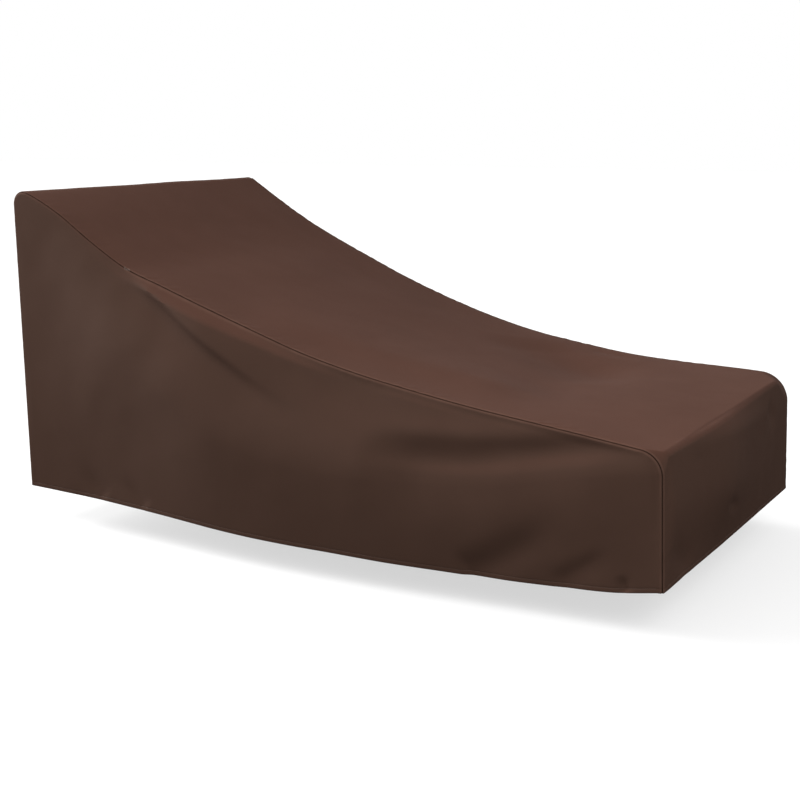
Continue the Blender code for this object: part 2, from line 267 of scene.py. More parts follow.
def hermite(low, high, low_slope, high_slope, step, t):
    """A cubic between two values with the given slopes, step apart, at the share t."""
    return ((2 * t ** 3 - 3 * t ** 2 + 1) * low + (t ** 3 - 2 * t ** 2 + t) * step * low_slope
            + (3 * t ** 2 - 2 * t ** 3) * high + (t ** 3 - t ** 2) * step * high_slope)


def look_up(rows, column, along):
    """Read a column of a table at distances from the head end, on a smooth line through its rows."""
    stations = np.array([row.along for row in rows])
    values = np.array([getattr(row, column) for row in rows])
    index = np.arange(len(rows))
    before = np.maximum(index - 1, 0)
    after = np.minimum(index + 1, len(rows) - 1)
    slopes = (values[after] - values[before]) / (stations[after] - stations[before])
    along = np.clip(along, stations[0], stations[-1])
    low = np.clip(np.searchsorted(stations, along, side="right") - 1, 0, len(rows) - 2)
    step = stations[low + 1] - stations[low]
    share = (along - stations[low]) / step
    return hermite(values[low], values[low + 1], slopes[low], slopes[low + 1], step, share)


print("near seam over the hem at mid length:", round(float(look_up(TOP_LINE, "near", COVER_LENGTH / 2)), 4))

# %% [markdown]
# ## The line of each long seam
#
# Seen from the side, each seam climbs the head end, turns a rounded corner, runs down the slope, levels out
# and turns down over the foot. That line is the skeleton of the cover: the centre panel is stretched between
# the two seams, and each side panel hangs inside its own. The line is laid out as if the edge were sharp,
# and is divided finely enough for creases a few centimetres wide. From the line comes the direction into the
# cover at every station, at right angles to it.

# %% The line of each long seam
HEAD_STEPS = 90
CORNER_STEPS = 14
TOP_STEPS = 330
FOOT_STEPS = 40
HEAD_REACH = 0.04         # how far along the top from a corner its direction is read, at the head
FOOT_REACH = 0.06         # and at the foot


def straight(start, end, steps):
    """Evenly spaced points from start up to, but not at, end."""
    return start + (end - start) * np.linspace(0, 1, steps, endpoint=False)[:, None]


def unit(vectors):
    """The same directions, one unit long."""
    return vectors / np.linalg.norm(vectors, axis=-1, keepdims=True)


def steps_of(line):
    """The distance from each point of a line to the next."""
    return np.linalg.norm(np.diff(line, axis=0), axis=1)


def way_along(line):
    """The distance along a line at each of its points."""
    return np.concatenate([[0], np.cumsum(steps_of(line))])


def rounded(before, corner, after, radius):
    """The arc that rounds a corner off, with both its ends."""
    back = unit(before - corner)
    ahead = unit(after - corner)
    half_angle = math.acos(back @ ahead) / 2
    centre = corner + unit(back + ahead) * radius / math.sin(half_angle)
    start = corner + back * radius / math.tan(half_angle) - centre
    end = corner + ahead * radius / math.tan(half_angle) - centre
    sweep = math.pi - 2 * half_angle
    turn = np.linspace(0, sweep, CORNER_STEPS + 1)[:, None]
    return centre + (start * np.sin(sweep - turn) + end * np.sin(turn)) / math.sin(sweep)


def corner_line(side, foot_round):
    """The edge where top and ends meet a side, as if it were sharp, from the head hem to the foot hem."""
    def top_at(along):
        return np.stack([along + 0.0, look_up(TOP_LINE, side, along)], axis=-1)

    head_top = top_at(0.0) - (HEAD_OUT[side], 0.0)
    head_hem = np.array([0.0, -look_up(HEM_LINE, side + "_droop", 0.0)])
    foot_hem = np.array([COVER_LENGTH + FOOT_FLARE, -look_up(HEM_LINE, side + "_droop", COVER_LENGTH)])
    head_arc = rounded(head_hem, head_top, top_at(HEAD_REACH), HEAD_CORNER[side])
    foot_arc = rounded(top_at(COVER_LENGTH - FOOT_REACH), top_at(COVER_LENGTH), foot_hem, foot_round)
    top = top_at(np.linspace(head_arc[-1, 0], foot_arc[0, 0], TOP_STEPS + 1)[1:-1])
    return np.concatenate([straight(head_hem, head_arc[0], HEAD_STEPS), head_arc, top, foot_arc,
                           straight(foot_hem, foot_arc[-1], FOOT_STEPS)[::-1]])


def inward(line):
    """At each point of a corner line, the direction into the cover, seen from the side."""
    run = unit(np.gradient(line, axis=0))
    return np.stack([run[:, 1], -run[:, 0]], axis=-1)


LINES = {side: corner_line(side, FOOT_CORNER[side]) for side in SIGN}
for side, line in LINES.items():
    print(side, "seam line:", round(float(steps_of(line).sum()), 3), "m")

# %% [markdown]
# ## Folds
#
# A cover hangs in a few large folds, and each is a soft ridge or trough along a curved route. A fold here is
# a row of a table: its route, how far it lifts the cloth at its line (below zero for a trough), how wide it
# is on each side, and over which shares of its length it fades in and out. The wide folds follow those of
# the plain panels. The creases are finer, and some have a steep side and a long one, as cloth has where it
# is pulled tight on one side of a crease and slack on the other.
#
# Routes, rises and widths are in millimetres. A route on a side panel is given by distances along the cover
# and over the hem, one on the top by distances along and across, and one on an end by distances over the hem
# and across.

# %% Folds
Fold = namedtuple("Fold", "route rise left right fade_in fade_out")
ROUTE_SAMPLES = 28
PAIRS_AT_ONCE = 2_000_000     # of points and route samples, to keep memory small
NEAR_FOLDS = (
    # the roll of slack cloth that hangs over the deep crease, from the bend in the seam
    Fold(((315, 540), (406, 496), (506, 432), (606, 372), (706, 317), (850, 255)), 20, 85, 19, 0.20, 0.55),
    # the shoulder right under the seam
    Fold(((430, 478), (510, 452), (600, 420), (700, 386), (800, 356), (930, 326)), 5.5, 18, 100, 0.32, 0.35),
    # the long hollow under the seam, towards the foot
    Fold(((930, 194), (1020, 187), (1110, 185), (1200, 193), (1300, 213), (1400, 234), (1480, 248),
          (1555, 256)), -20.5, 48, 90, 0.26, 0.40),
    # the sharp edge over that hollow
    Fold(((940, 246), (1080, 249), (1200, 255), (1300, 263), (1400, 268), (1500, 269)),
         3, 22, 20, 0.25, 0.20),
    # the low ridge under it
    Fold(((830, 170), (1000, 165), (1100, 165), (1200, 172), (1300, 190), (1400, 212), (1530, 240)),
         7.5, 30, 95, 0.40, 0.15),
    # the low creases that run up from the hem
    Fold(((1170, -30), (1250, 12), (1315, 58), (1400, 120)), -7.5, 34, 36, 0.10, 0.45),
    Fold(((1360, -25), (1430, 26), (1490, 66)), -4, 18, 30, 0.22, 0.50),
    Fold(((1514, -14), (1500, 24)), -4, 11, 11, 0.22, 0.60),
    Fold(((240, -12), (205, 25), (160, 70)), -2.6, 18, 26, 0.22, 0.55),
    Fold(((372, -14), (335, 20), (290, 55)), -2.6, 18, 24, 0.22, 0.55),
    # the full cloth under the seam's steep part
    Fold(((90, 605), (150, 565), (230, 515), (330, 455), (450, 385)), 6, 55, 150, 0.45, 0.35),
    # the fuller cloth behind the crease, at half the head end's height
    Fold(((100, 480), (300, 380), (450, 270), (620, 180), (850, 120)), 10, 100, 180, 0.30, 0.35),
    # the fuller cloth low down beside the head end
    Fold(((0, 310), (180, 270), (420, 190)), 6, 140, 160, 0.60, 0.40),
    # the side of the slack that faces the head end, left of the crease
    Fold(((330, 500), (420, 400), (480, 300), (520, 200)), 6, 250, 120, 0.35, 0.40),
)
FAR_FOLDS = (
    Fold(((360, 480), (560, 350), (780, 215), (1040, 170), (1530, 240)), 9, 46, 85, 0.15, 0.15),
    Fold(((380, 490), (500, 410), (740, 275)), -10, 30, 30, 0.10, 0.50),
    Fold(((930, 232), (1250, 222), (1540, 240)), -9, 26, 36, 0.35, 0.10),
    Fold(((980, -20), (1080, 50), (1190, 110)), -7, 36, 36, 0.05, 0.60),
)
TOP_FOLDS = (
    # the ridge from which the cloth falls towards the near seam
    Fold(((500, -320), (850, -270), (1080, -230), (1280, -180)), 14, 200, 90, 0.30, 0.30),
    # the valley across the far side of the low part
    Fold(((960, 365), (1060, 265), (1150, 190), (1240, 125), (1300, 75)), -14, 85, 120, 0.20, 0.55),
    # the shallow hollow in which the slope ends
    Fold(((1120, 360), (1170, 150), (1170, -120), (1100, -340)), -14, 130, 160, 0.25, 0.40),
    # the slope is a little fuller between the seams than beside them
    Fold(((150, 20), (600, 0), (1050, 20)), 10, 250, 250, 0.50, 0.50),
    # a dent beside the far seam
    Fold(((1080, 400), (1240, 385)), -3, 18, 22, 0.30, 0.40),
)
FOOT_FOLDS = (
    # the fullness of the end, which makes its near half face a little to the near side
    Fold(((-30, -100), (290, -80)), 20, 290, 210, 0.50, 0.20),
    Fold(((150, -470), (150, -150), (140, 120)), 8, 80, 80, 0.05, 0.60),
    # the low creases that run up from its hem
    Fold(((12, -290), (40, -360), (85, -420)), -4, 30, 22, 0.25, 0.50),
    Fold(((92, -105), (80, -65), (66, -30), (48, 0)), -3, 14, 10, 0.30, 0.45),
    # the dents near the far corner
    Fold(((232, 265), (205, 285), (170, 330)), -4.5, 26, 22, 0.25, 0.45),
    Fold(((222, -280), (212, -262)), -1.2, 7, 7, 0.40, 0.40),
)
HEAD_FOLDS = (
    Fold(((560, -330), (300, -300), (20, -310)), -6, 60, 60, 0.30, 0.10),
    Fold(((520, 260), (250, 240), (10, 270)), -6, 70, 60, 0.30, 0.10),
    Fold(((420, -20), (20, 30)), 5, 70, 70, 0.40, 0.10),
)
SIDE_FOLDS = {"near": NEAR_FOLDS, "far": FAR_FOLDS}


def smooth_route(points):
    """Points on a smooth line through the points of a fold's route, in metres."""
    knots = np.array(points) / 1000
    knots = np.concatenate([[2 * knots[0] - knots[1]], knots, [2 * knots[-1] - knots[-2]]])
    spans = len(knots) - 3
    place = np.linspace(0, spans, ROUTE_SAMPLES + 1)
    span = np.minimum(place.astype(int), spans - 1)
    before, low, high, after = (knots[span + step] for step in range(4))
    return hermite(low, high, (high - before) / 2, (after - low) / 2, 1, (place - span)[:, None])


def nearest(points, route):
    """How far points are from a route, their shares of the way along it, and the side that each is on."""
    starts = route[:-1]
    runs = np.diff(route, axis=0)
    answers = []
    for block in np.array_split(points, 1 + len(points) * len(route) // PAIRS_AT_ONCE):
        share = np.clip(((block[:, None] - starts) * runs).sum(-1) / (runs * runs).sum(-1), 0, 1)
        offset = block[:, None] - starts - share[..., None] * runs
        distance = np.hypot(offset[..., 0], offset[..., 1])
        pick = (np.arange(len(block)), distance.argmin(axis=1))
        turn = runs[pick[1], 0] * offset[pick][:, 1] - runs[pick[1], 1] * offset[pick][:, 0]
        answers.append((distance[pick], (pick[1] + share[pick]) / len(runs), turn))
    return (np.concatenate(answer) for answer in zip(*answers))


def relief(folds, first, second):
    """How far the folds lift the cloth at points that are given in the folds' own two distances."""
    points = np.stack([np.ravel(first), np.ravel(second)], axis=-1)
    lift = np.zeros(len(points))
    for fold in folds:
        distance, share, turn = nearest(points, smooth_route(fold.route))
        width = np.where(turn > 0, fold.left, fold.right) / 1000
        ends = smooth_step(share / fold.fade_in) * smooth_step((1 - share) / fold.fade_out)
        lift += fold.rise / 1000 * ends * np.exp(-(distance / width) ** 2)
    return lift.reshape(np.shape(first))


print("folds:", len(NEAR_FOLDS) + len(FAR_FOLDS) + len(TOP_FOLDS) + len(FOOT_FOLDS) + len(HEAD_FOLDS))

# %% [markdown]
# ## Unevenness
#
# Between its folds the cloth is never quite smooth. A soft uneven field is made from a handful of long waves
# in seeded directions, which is enough for swells that nobody would call a pattern. Along a seam the needle
# draws the cloth in and leaves small puckers, more of them in some stretches than in others.

# %% Unevenness
WAVES = 9
WAVE_LENGTHS = (0.7, 1.7)     # the shortest and longest of a field's waves, of its size
SWELL = {"size": 0.260, "rise": 0.0005}
DIMPLE = {"size": 0.075, "rise": 0.00010}
PUCKER = {"size": 0.024, "rise": 0.00028, "reach": 0.009}
PUCKER_PATCH = {"size": 0.25, "least": 0.6, "more": 0.4}
CENTRE_SEED = 11
SIDE_SEED = {"near": 3, "far": 7}
CENTRE_PUCKER_SEED = 31
SIDE_PUCKER_SEED = {"near": 44, "far": 48}


def uneven(first, second, size, seed):
    """A soft uneven field with a spread of about 1 and swells about as long as size."""
    draw = np.random.default_rng(seed)
    field = np.zeros(np.shape(first))
    for _ in range(WAVES):
        heading = draw.uniform(0, 2 * math.pi)
        length = size * draw.uniform(*WAVE_LENGTHS)
        start = draw.uniform(0, 2 * math.pi)
        way = first * math.cos(heading) + second * math.sin(heading)
        field += np.sin(2 * math.pi * way / length + start)
    return field * math.sqrt(2 / WAVES)


def swells(first, second, seed):
    """The low unevenness of a panel at points of it, in metres."""
    return (SWELL["rise"] * uneven(first, second, SWELL["size"], seed)
            + DIMPLE["rise"] * uneven(first, second, DIMPLE["size"], seed + 1))


def puckers(station, depth, seed):
    """The small puckers beside a seam: station is a distance along it and depth one from it."""
    near_seam = depth / PUCKER["reach"] * np.exp(1 - depth / PUCKER["reach"])
    patches = (PUCKER_PATCH["least"]
               + PUCKER_PATCH["more"] * uneven(station, 0 * station, PUCKER_PATCH["size"], seed + 2))
    return PUCKER["rise"] * near_seam * patches * uneven(station, 0 * station, PUCKER["size"], seed)


print("swells reach about", round(1000 * 2 * SWELL["rise"], 1), "mm")

# %% [markdown]
# ## The section of a seam and of a hem
#
# At a seam the two cloths lie face to face, are stitched, and are opened out, so each one rolls over in a
# tight lip and its allowance stands inside the cover. In section that is a wide round, then a small one that
# turns the cloth through 135 degrees in all, then a straight allowance. Where the lips meet they leave the
# thin dark line that shows from outside.
#
# A hem is turned up inside and stitched. In section it comes down inside, goes round a small bend and climbs
# the outside, where the stitching draws in a shallow groove.

# %% The section of a seam and of a hem
CLOTH = 0.0009            # its thickness
SEAM_ROUND = 0.008        # the wide round with which the cloth turns over to a seam
SEAM_LIP = 0.0017         # the tight round at the seam itself
SEAM_TURN = math.radians(135)
SEAM_GAP = 0.0004
ROUND_STEPS = 4
LIP_STEPS = 5
ALLOWANCE = (0.002, 0.005, 0.009)
HEM_BEND = 0.0013
HEM_BEND_STEPS = 5
HEM_TURNED_UP = (0.019, 0.010, 0.005)
HEM_ROWS = (0.0030, 0.0052, 0.0072, 0.0082, 0.0090, 0.0098, 0.0108, 0.0130, 0.0160, 0.0190, 0.0220, 0.0260)
STITCH_HEIGHT = 0.0090    # the line of stitches over the hem's edge
STITCH_GROOVE = 0.00045
STITCH_GROOVE_WIDTH = 0.0011


def seam_section():
    """The cloth's section at a seam: distances in from the corner and below the sheet, and how far it has
    turned, from where it starts to turn to the end of its allowance."""
    lip_turn = math.acos((SEAM_LIP + SEAM_GAP / 2) / (SEAM_ROUND - SEAM_LIP)) - math.radians(45)
    round_turns = np.linspace(0, lip_turn, ROUND_STEPS + 1)
    lip_turns = np.linspace(lip_turn, SEAM_TURN, LIP_STEPS + 1)[1:]
    lip_in = SEAM_ROUND - (SEAM_ROUND - SEAM_LIP) * math.sin(lip_turn)
    lip_below = SEAM_ROUND - (SEAM_ROUND - SEAM_LIP) * math.cos(lip_turn)
    inner = np.concatenate([SEAM_ROUND * (1 - np.sin(round_turns)),
                            lip_in - SEAM_LIP * np.sin(lip_turns)])
    below = np.concatenate([SEAM_ROUND * (1 - np.cos(round_turns)),
                            lip_below - SEAM_LIP * np.cos(lip_turns)])
    flap = np.array(ALLOWANCE) * math.sqrt(0.5)
    return (np.concatenate([inner, inner[-1] + flap]), np.concatenate([below, below[-1] + flap]),
            np.concatenate([round_turns, lip_turns, np.full(len(flap), SEAM_TURN)]))


def hem_section():
    """The cloth's section at a hem: heights over its edge, and distances in from the outer face."""
    bend = np.linspace(0, math.pi, HEM_BEND_STEPS + 1)
    rows = np.array(HEM_ROWS)
    groove = STITCH_GROOVE * np.exp(-((rows - STITCH_HEIGHT) / STITCH_GROOVE_WIDTH) ** 2)
    inside = np.full(len(HEM_TURNED_UP), 2 * HEM_BEND)
    return (np.concatenate([HEM_TURNED_UP, HEM_BEND * (1 - np.sin(bend)), rows]),
            np.concatenate([inside, HEM_BEND * (1 + np.cos(bend)), groove]))


SECTION_IN, SECTION_BELOW, SECTION_TURN = seam_section()
SECTION_WAY = np.concatenate([[0], np.cumsum(np.hypot(np.diff(SECTION_IN), np.diff(SECTION_BELOW)))])
SEAM_WAY = SECTION_WAY[ROUND_STEPS + LIP_STEPS]     # the way along the section at which the seam is
HEM_UP, HEM_IN = hem_section()
HEM_COUNT = len(HEM_UP)
print("a seam's section has", len(SECTION_IN), "points, a hem's", HEM_COUNT)

# %% [markdown]
# ## From a grid to a sheet of cloth
#
# Each panel starts as the plainest thing in Blender, a flat grid. Its points are then moved to where the
# cloth hangs, which is sculpting by arithmetic. The grid's UV map is laid out in metres along the cloth, so
# a weave keeps its scale round every fold, and an attribute records how far each point is from a seam.
# Solidify then gives the sheet its thickness, inwards, with a second material slot for the inner face.

# %% From a grid to a sheet of cloth
Sheet = namedtuple("Sheet", "places uv from_seam")
SMOOTH_ANGLE = math.radians(50)
MERGE_DISTANCE = 0.00002


def in_space(flat, across):
    """Points in the cover's space, from their places seen from the side and their distances across."""
    return np.stack([flat[..., 0] - COVER_LENGTH / 2, np.broadcast_to(across, flat.shape[:-1]),
                     flat[..., 1] - MOUNT_HEIGHT], axis=-1)


def grid_object(name, sheet):
    """A grid with one vertex for each point of a sheet, which is an array of columns of rows."""
    columns, rows = sheet.places.shape[:2]
    bpy.ops.object.select_all(action="DESELECT")
    bpy.ops.mesh.primitive_grid_add(x_subdivisions=columns - 1, y_subdivisions=rows - 1, size=2)
    panel = bpy.context.object
    panel.name = name
    mesh = panel.data
    mesh.name = name
    flat = np.zeros(len(mesh.vertices) * 3)
    mesh.vertices.foreach_get("co", flat)
    flat = flat.reshape(-1, 3)
    column = np.rint((flat[:, 0] + 1) / 2 * (columns - 1)).astype(int)
    row = np.rint((flat[:, 1] + 1) / 2 * (rows - 1)).astype(int)
    mesh.vertices.foreach_set("co", sheet.places[column, row].ravel())
    corner_vertex = np.zeros(len(mesh.loops), dtype=int)
    mesh.loops.foreach_get("vertex_index", corner_vertex)
    mesh.uv_layers.active.name = "cloth"
    mesh.uv_layers.active.data.foreach_set("uv", sheet.uv[column, row][corner_vertex].ravel())
    from_seam = mesh.attributes.new("from_seam", "FLOAT", "POINT")
    from_seam.data.foreach_set("value", sheet.from_seam[column, row])
    mesh.update()
    return panel


def join_sheets(parts):
    """Join the grids of one panel along the points that they share."""
    bpy.ops.object.select_all(action="DESELECT")
    for part in parts:
        part.select_set(True)
    bpy.context.view_layer.objects.active = parts[0]
    bpy.ops.object.join()
    bpy.ops.object.mode_set(mode="EDIT")
    bpy.ops.mesh.select_all(action="SELECT")
    bpy.ops.mesh.remove_doubles(threshold=MERGE_DISTANCE)
    bpy.ops.object.mode_set(mode="OBJECT")
    return parts[0]


def thicken(panel):
    """Give a sheet its thickness, inwards, and shade it smooth except at its cut edges."""
    solidify = panel.modifiers.new("Thickness", "SOLIDIFY")
    solidify.thickness = CLOTH
    solidify.offset = -1
    solidify.material_offset = 1
    bpy.ops.object.modifier_apply(modifier=solidify.name)
    bpy.ops.object.shade_smooth_by_angle(angle=SMOOTH_ANGLE)
    panel.data.calc_loop_triangles()
    print(panel.name, "has", len(panel.data.loop_triangles), "triangles")
    return panel


# %% [markdown]
# ## The centre panel
#
# The centre panel is one long strip: up the head end, down the slope, along the low part and down the foot
# end, with a hem at both ends and a seam along both edges. Its columns follow the two seam lines and its
# rows run from one seam to the other. It could be made from separate flats and joined, but cloth has no such
# breaks, so it is one grid.
#
# Beside a seam the foot's edge is as round as the seam's own corner. Between the seams the cloth is pulled
# over the foot and its edge is crisper, so there the strip follows a second pair of lines with a small
# corner, and goes over from one pair to the other beside each seam.

# %% The centre panel
ACROSS_STEPS = 66
FOLD_FADE = 0.022         # a fold fades out over this distance from a seam
EDGE_FADE = {"near": 0.012, "far": 0.100}     # how far from a seam the foot's edge becomes crisp
Edge = namedtuple("Edge", "points turned_in into")


def with_hems(line):
    """A seam line whose ends have the rows of a hem: its points, how far each is turned in, and the way into
    the cover there."""
    def upright(hem, top, steps):
        length = np.linalg.norm(top - hem)
        up = np.concatenate([HEM_UP, np.linspace(HEM_UP[-1], length, steps, endpoint=False)[1:]])
        return hem + (top - hem) * up[:, None] / length

    into = inward(line)
    head = upright(line[0], line[HEAD_STEPS], HEAD_STEPS)
    foot = upright(line[-1], line[-FOOT_STEPS - 1], FOOT_STEPS)
    middle = slice(HEAD_STEPS, len(line) - FOOT_STEPS)
    points = np.concatenate([head, line[middle], foot[::-1]])
    turned_in = np.zeros(len(points))
    turned_in[:HEM_COUNT] = HEM_IN
    turned_in[-HEM_COUNT:] = HEM_IN[::-1]
    ways = np.concatenate([np.repeat(into[:1], len(head), axis=0), into[middle],
                           np.repeat(into[-1:], len(foot), axis=0)])
    return Edge(points, turned_in, unit(ways))


def between(first, second, share):
    """The first values where the share is 0, the second ones where it is 1, and a blend between."""
    return first * (1 - share) + second * share


def centre_sheet():
    """The strip over the head end, the top and the foot end."""
    edges = {side: with_hems(LINES[side]) for side in SIGN}
    crisp_edges = {side: with_hems(corner_line(side, FOOT_EDGE)) for side in SIGN}
    turned_in = edges["near"].turned_in
    flat_width = HALF_WIDTH - SEAM_ROUND
    middle = np.linspace(-flat_width, flat_width, ACROSS_STEPS + 1)[1:-1]
    edge = HALF_WIDTH - SECTION_IN
    y = np.concatenate([-edge[::-1], middle, edge])
    drop = np.concatenate([SECTION_BELOW[::-1], 0 * middle, SECTION_BELOW])
    turn = np.concatenate([SECTION_TURN[::-1], 0 * middle, SECTION_TURN])
    way = np.concatenate([-flat_width - SECTION_WAY[::-1], middle, flat_width + SECTION_WAY])
    from_seam = np.abs(flat_width + SEAM_WAY - np.abs(way))

    share = ((y + HALF_WIDTH) / COVER_WIDTH)[None, :, None]
    crisp = (smooth_step((y + flat_width) / EDGE_FADE["near"])
             * smooth_step((flat_width - y) / EDGE_FADE["far"]))[None, :, None]

    def spread(part):
        """The points or directions of both edges, spread over the strip between them."""
        ends = []
        for side in SIGN:
            round_part = getattr(edges[side], part)[:, None]
            crisp_part = getattr(crisp_edges[side], part)[:, None]
            ends.append(between(round_part, crisp_part, crisp))
        return between(*ends, share)

    flat = spread("points")
    into = unit(spread("into"))
    station = way_along((edges["near"].points + edges["far"].points) / 2)[:, None] + 0 * y
    across = y + 0 * station

    top_share = smooth_step(-into[..., 1])
    lift = relief(TOP_FOLDS, flat[..., 0], across) * top_share
    head = relief(HEAD_FOLDS, flat[..., 1], across)
    foot = relief(FOOT_FOLDS, flat[..., 1], across)
    lift += np.where(into[..., 0] > 0, head, foot) * (1 - top_share)
    lift += swells(station, across, CENTRE_SEED)
    lift *= smooth_step((HALF_WIDTH - np.abs(across) - SEAM_ROUND) / FOLD_FADE)
    depth = from_seam + 0 * station
    before_allowance = np.abs(way) < flat_width + SEAM_WAY
    lift += puckers(station, depth, CENTRE_PUCKER_SEED) * before_allowance

    flat = flat + into * (drop - lift + turned_in[:, None] * np.cos(turn))[..., None]
    inner = across - np.sign(across) * turned_in[:, None] * np.sin(turn)
    return Sheet(in_space(flat, inner), np.stack([station, way + 0 * station], axis=-1), depth)


centre_cloth = centre_sheet()
centre_panel = thicken(grid_object("centre_cloth", centre_cloth))

# %% [markdown]
# ## The side panels
#
# Each side panel hangs from its seam and bellies out below it, widest a hand's width over the hem. Its cloth
# is a grid from the hem up to the wide round of the seam, and a second, narrow grid follows the seam up the
# head end, over the top and down the foot end and carries the seam's section. The two grids share a row of
# points, along which they are joined.

# %% The side panels
SIDE_STEPS = {"near": 84, "far": 60}
CURVE_ABOVE = 1.4         # how the cloth bellies out from the seam down to its widest height
CURVE_BELOW = 1.3         # and how it comes back in from there to the hem
TINY = 1e-9


def stands_out(side, flat, depth):
    """How far the hanging cloth stands out past the seam, before its folds."""
    along, height = flat[..., 0], flat[..., 1]
    widest = look_up(SLACK_LINE, side + "_height", along)
    slack = look_up(SLACK_LINE, side + "_bulge", along)
    hem = look_up(HEM_LINE, side + "_bulge", along)
    quarter_turn = math.pi / 2 * depth / (depth + np.maximum(height - widest, 0) + TINY)
    above = slack * np.sin(quarter_turn) ** CURVE_ABOVE
    below = slack + (hem - slack) * np.clip((widest - height) / widest, 0, None) ** CURVE_BELOW
    return np.where(height > widest, above, below)


def hangs_out(side, flat, depth):
    """How far the cloth stands out past the seam, with its folds, at a depth from the seam."""
    folds = relief(SIDE_FOLDS[side], flat[..., 0], flat[..., 1])
    unevenness = swells(flat[..., 0], flat[..., 1], SIDE_SEED[side])
    free = smooth_step((depth - SEAM_LIP) / FOLD_FADE)
    return free * (stands_out(side, flat, depth) + folds + unevenness)


def rim(values):
    """Of values on a grid, those up its first column, along its top and down its last column."""
    return np.concatenate([values[0], values[1:, -1], values[-1, ::-1][1:]])


def side_sheets(side):
    """The hanging part of a side panel, and the strip that carries its seam."""
    line, into = LINES[side], inward(LINES[side])
    stations = slice(HEAD_STEPS, len(line) - FOOT_STEPS)
    top = line[stations] + into[stations] * SEAM_ROUND
    run = way_along(top)
    head = line[0] + into[0] * SEAM_ROUND
    foot = line[-1] + into[-1] * SEAM_ROUND
    hem_along = head[0] + (foot[0] - head[0]) * run / run[-1]
    hem = np.stack([hem_along, -look_up(HEM_LINE, side + "_droop", hem_along)], axis=-1)
    length = np.linalg.norm(top - hem, axis=1)
    rest = np.linspace(0, 1, SIDE_STEPS[side] + 1)[1:]
    up = np.concatenate([np.repeat(HEM_UP[None], len(top), axis=0),
                         HEM_UP[-1] + (length[:, None] - HEM_UP[-1]) * rest], axis=1)
    turned_in = np.concatenate([HEM_IN, 0 * rest]) + 0 * up
    flat = hem[:, None] + (top - hem)[:, None] * (up / length[:, None])[..., None]

    depth, share, _ = nearest(flat.reshape(-1, 2), line)
    depth = depth.reshape(up.shape)
    seam_run = share.reshape(up.shape) * steps_of(line).sum()
    pucker = puckers(seam_run, depth, SIDE_PUCKER_SEED[side]) * np.exp(-(depth / SEAM_ROUND) ** 2)
    out = hangs_out(side, flat, depth) + pucker
    hanging = Sheet(in_space(flat, SIGN[side] * (HALF_WIDTH + out - turned_in)), flat, depth)

    border = rim(flat)
    border_in = np.concatenate([np.repeat(into[:1], up.shape[1], axis=0), into[stations][1:],
                                np.repeat(into[-1:], up.shape[1] - 1, axis=0)])
    fold_in = rim(turned_in)[:, None]
    shift = SECTION_IN - SEAM_ROUND + fold_in * np.sin(SECTION_TURN)
    strip = border[:, None] + border_in[:, None] * shift[..., None]
    from_corner = np.where(SECTION_TURN < math.pi / 2, SECTION_IN, 0) + 0 * shift
    out = hangs_out(side, strip, from_corner) + rim(pucker)[:, None] * from_corner / SEAM_ROUND
    out = out - SECTION_BELOW - fold_in * np.cos(SECTION_TURN)
    uv = border[:, None] - border_in[:, None] * SECTION_WAY[:, None]
    from_seam = np.abs(SEAM_WAY - SECTION_WAY) + 0 * shift
    return hanging, Sheet(in_space(strip, SIGN[side] * (HALF_WIDTH + out)), uv, from_seam)


SIDE_SHEETS = {side: side_sheets(side) for side in SIGN}


def side_panel(side):
    """One long side: both grids, turned so that they face outwards, joined and thickened."""
    grids = []
    for name, sheet in zip((f"{side}_side_cloth", "seam_strip"), SIDE_SHEETS[side]):
        if side == "far":
            sheet = Sheet(*(values[::-1] for values in sheet))
        grids.append(grid_object(name, sheet))
    return thicken(join_sheets(grids))


near_panel = side_panel("near")
far_panel = side_panel("far")

# %% [markdown]
# ## Hem stitches
#
# The turned-up hem is held by a line of lockstitch, 9 mm over its edge, in thread a shade lighter than the
# cloth. Each stitch is a short oval bead of thread that sinks into the groove at both ends. The line could
# be painted on with a texture, but then it would vanish when the hem is seen from the side. So one stitch is
# made from a low sphere, and a copy of its mesh is laid along the hem every 4.5 mm, turned to follow it.

# %% Hem stitches
STITCH_PITCH = 0.0045
STITCH_LENGTH = 0.0034
STITCH_WIDTH = 0.0009
STITCH_SIDES = 6
STITCH_RINGS = 4
STITCH_FLATNESS = 0.7     # how far a stitch stands up, of its width
HEM_END = 0.005           # the least distance from a stitch to the end of the hem


def one_stitch(length, width):
    """The mesh of one stitch, which lies along X and faces Z."""
    bpy.ops.object.select_all(action="DESELECT")
    bpy.ops.mesh.primitive_uv_sphere_add(segments=STITCH_SIDES, ring_count=STITCH_RINGS, radius=0.5,
                                         rotation=(0, math.pi / 2, 0))
    bead = bpy.context.object
    bpy.ops.object.transform_apply(location=True, rotation=True, scale=True)
    bpy.ops.object.mode_set(mode="EDIT")
    bpy.ops.mesh.select_all(action="SELECT")
    bpy.ops.transform.resize(value=(length, width, STITCH_FLATNESS * width))
    bpy.ops.object.mode_set(mode="OBJECT")
    bpy.ops.object.shade_smooth()
    mesh = bead.data
    bpy.data.objects.remove(bead)
    return mesh


def laid(place, forward, outward):
    """The matrix that lays a stitch at a place, along forward, with its back outward."""
    sideways = unit(np.cross(outward, forward))
    turn = Matrix((forward, sideways, np.cross(forward, sideways))).transposed().to_4x4()
    return Matrix.Translation(Vector(place)) @ turn


